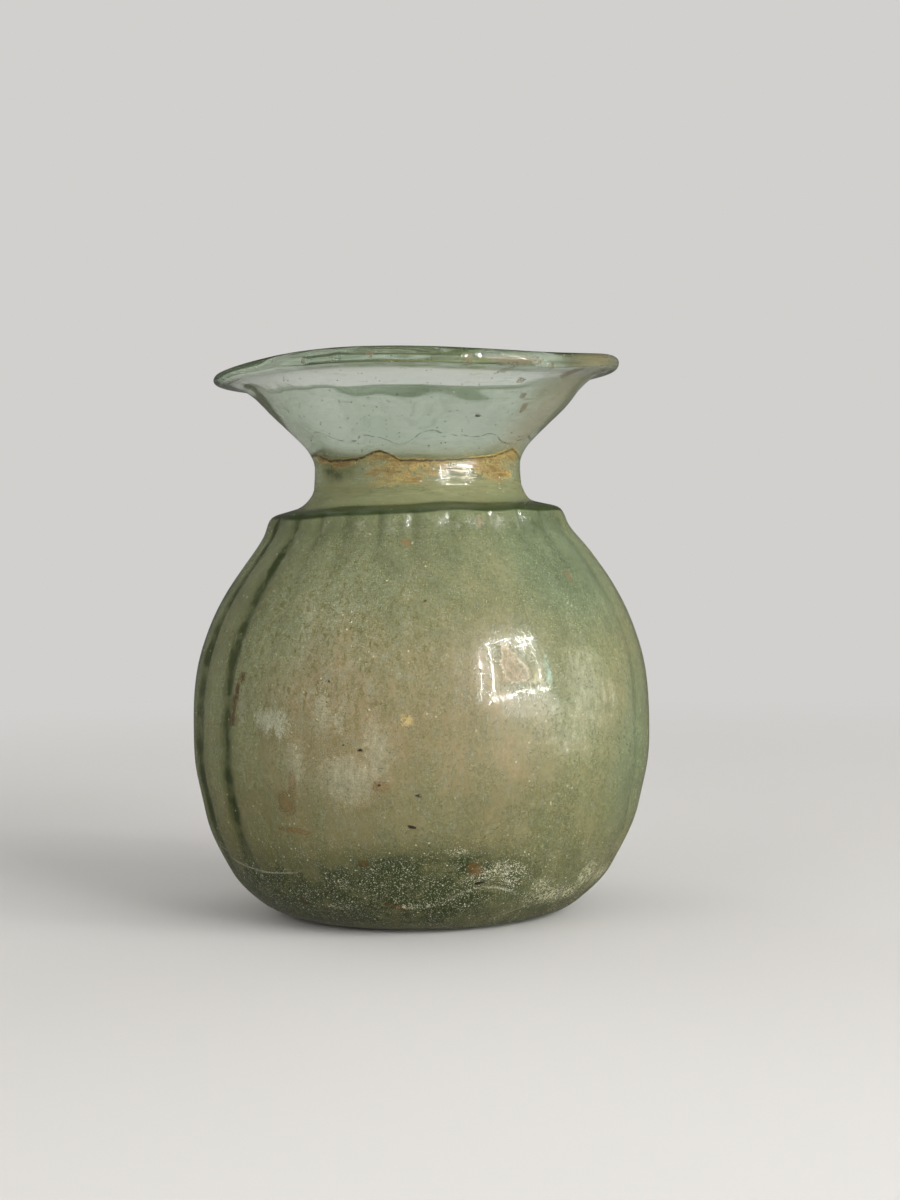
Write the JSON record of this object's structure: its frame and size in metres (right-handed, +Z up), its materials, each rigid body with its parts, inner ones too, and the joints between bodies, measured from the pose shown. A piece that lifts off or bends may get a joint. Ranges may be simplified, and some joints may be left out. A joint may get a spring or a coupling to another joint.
{
  "type": "gadrooned glass vase",
  "caption": "Squat hollow glass jar with a gadrooned globular body, short neck and wide funnel mouth, standing on a flat foot ring.",
  "frame": {"origin": "middle of the underside, on the surface that the vase stands on", "axes": "+Z up through the mouth, -X towards the side where the mouth dips, -Y towards the viewer"},
  "size_m": [0.0678, 0.0674, 0.0808],
  "materials": {
    "weathered_green_glass": "translucent bluish-green glass, dulled and pitted by burial, with tan and iridescent weathering film"
  },
  "bodies": {
    "root": {"gadrooned_vase": "weathered_green_glass"}
  },
  "joints": []
}
